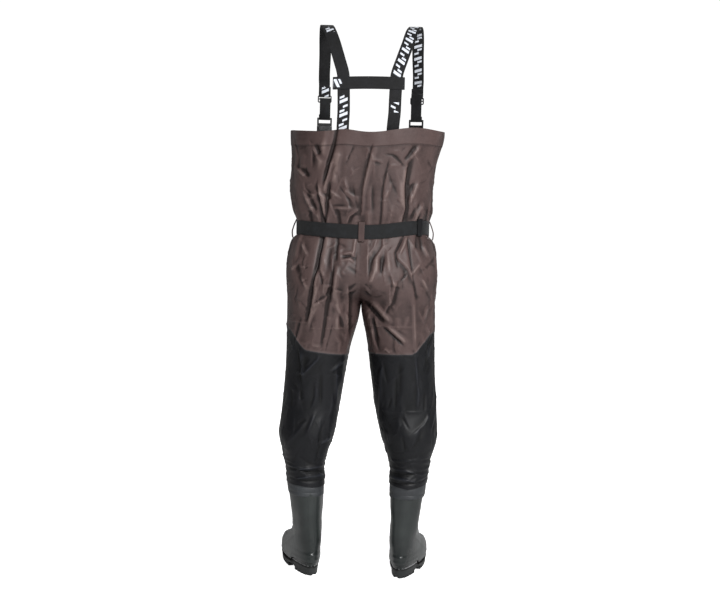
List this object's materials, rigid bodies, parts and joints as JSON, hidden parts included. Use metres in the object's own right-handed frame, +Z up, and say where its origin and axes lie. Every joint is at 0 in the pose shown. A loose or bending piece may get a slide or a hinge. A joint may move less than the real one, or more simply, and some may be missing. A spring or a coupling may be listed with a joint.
{
  "type": "chest waders",
  "caption": "Chest waders with a belted bib, cloth legs with moulded boots, and suspenders joined by a back cross band.",
  "frame": {"origin": "on the centre plane, between the tops of the two suspenders, where the waders hang", "axes": "+Z up, +Y the way the wearer faces, +X to the wearer's right"},
  "size_m": [0.4584, 0.3668, 1.5982],
  "materials": {
    "brown_cloth": "coated nylon, slight sheen",
    "black_cloth": "coated nylon, slight sheen",
    "seam_tape": "welded tape, smooth",
    "suspender_webbing": "elastic webbing with a woven pattern",
    "plain_webbing": "ribbed webbing",
    "buckle_plastic": "moulded acetal, satin",
    "boot_rubber": "moulded PVC, satin",
    "sole_rubber": "moulded PVC, matt",
    "insole_felt": "pressed felt"
  },
  "bodies": {
    "torso": {"chest_hem": "brown_cloth", "seam_tape_front": "seam_tape", "seam_tape_back": "seam_tape", "back_cross_band": "suspender_webbing", "belt_webbing": "plain_webbing", "belt_socket": "buckle_plastic", "belt_loop_back": "brown_cloth", "front_panel_left": "brown_cloth", "back_panel_left": "brown_cloth", "hip_fabric_left": "brown_cloth", "suspender_left": "suspender_webbing", "strap_slider_left": "buckle_plastic", "clip_socket_left": "buckle_plastic", "clip_tab_left": "plain_webbing", "belt_loop_left": "brown_cloth", "front_panel_right": "brown_cloth", "back_panel_right": "brown_cloth", "hip_fabric_right": "brown_cloth", "suspender_right": "suspender_webbing", "strap_slider_right": "buckle_plastic", "clip_socket_right": "buckle_plastic", "clip_tab_right": "plain_webbing", "belt_loop_right": "brown_cloth"},
    "thigh_left": {"thigh_left": "brown_cloth", "upper_leg_left": "black_cloth", "knee_fabric_left": "black_cloth"},
    "shin_left": {"lower_leg_left": "black_cloth", "ankle_fabric_left": "black_cloth"},
    "boot_left": {"boot_shell_left": "boot_rubber", "boot_outsole_left": "sole_rubber", "boot_insole_left": "insole_felt", "boot_cuff_left": "boot_rubber"},
    "clip_left": {"clip_plug_left": "buckle_plastic", "clip_webbing_left": "plain_webbing"},
    "thigh_right": {"thigh_right": "brown_cloth", "upper_leg_right": "black_cloth", "knee_fabric_right": "black_cloth"},
    "shin_right": {"lower_leg_right": "black_cloth", "ankle_fabric_right": "black_cloth"},
    "boot_right": {"boot_shell_right": "boot_rubber", "boot_outsole_right": "sole_rubber", "boot_insole_right": "insole_felt", "boot_cuff_right": "boot_rubber"},
    "clip_right": {"clip_plug_right": "buckle_plastic", "clip_webbing_right": "plain_webbing"},
    "belt_plug": {"belt_plug": "buckle_plastic", "belt_tail": "plain_webbing"},
    "belt_keeper": {"belt_keeper": "buckle_plastic"}
  },
  "joints": [
    {"name": "hip_left", "type": "hinge", "parent": "torso", "child": "thigh_left", "pos_m": [-0.11, 0, -0.7482], "axis": [1, 0, 0], "range_deg": [-15, 50], "deforming": ["hip_fabric_left"]},
    {"name": "knee_left", "type": "hinge", "parent": "thigh_left", "child": "shin_left", "pos_m": [-0.139, 0, -1.0982], "axis": [-1, 0, 0], "range_deg": [0, 70], "deforming": ["knee_fabric_left"]},
    {"name": "ankle_left", "type": "hinge", "parent": "shin_left", "child": "boot_left", "pos_m": [-0.151, 0, -1.3062], "axis": [1, 0, 0], "range_deg": [-18, 18], "deforming": ["ankle_fabric_left"]},
    {"name": "clip_slide_left", "type": "slide", "parent": "torso", "child": "clip_left", "axis": [0, 0, 1], "range_m": [0, 0.03]},
    {"name": "hip_right", "type": "hinge", "parent": "torso", "child": "thigh_right", "pos_m": [0.11, 0, -0.7482], "axis": [1, 0, 0], "range_deg": [-15, 50], "deforming": ["hip_fabric_right"]},
    {"name": "knee_right", "type": "hinge", "parent": "thigh_right", "child": "shin_right", "pos_m": [0.139, 0, -1.0982], "axis": [-1, 0, 0], "range_deg": [0, 70], "deforming": ["knee_fabric_right"]},
    {"name": "ankle_right", "type": "hinge", "parent": "shin_right", "child": "boot_right", "pos_m": [0.151, 0, -1.3062], "axis": [1, 0, 0], "range_deg": [-18, 18], "deforming": ["ankle_fabric_right"]},
    {"name": "clip_slide_right", "type": "slide", "parent": "torso", "child": "clip_right", "axis": [0, 0, 1], "range_m": [0, 0.03]},
    {"name": "belt_plug_slide", "type": "slide", "parent": "torso", "child": "belt_plug", "axis": [-1, 0, 0], "range_m": [0, 0.04]},
    {"name": "belt_keeper_slide", "type": "hinge", "parent": "torso", "child": "belt_keeper", "pos_m": [0.0916, -0.0041, -0.5822], "axis": [0, 0, 1], "range_deg": [-8, 8]}
  ]
}
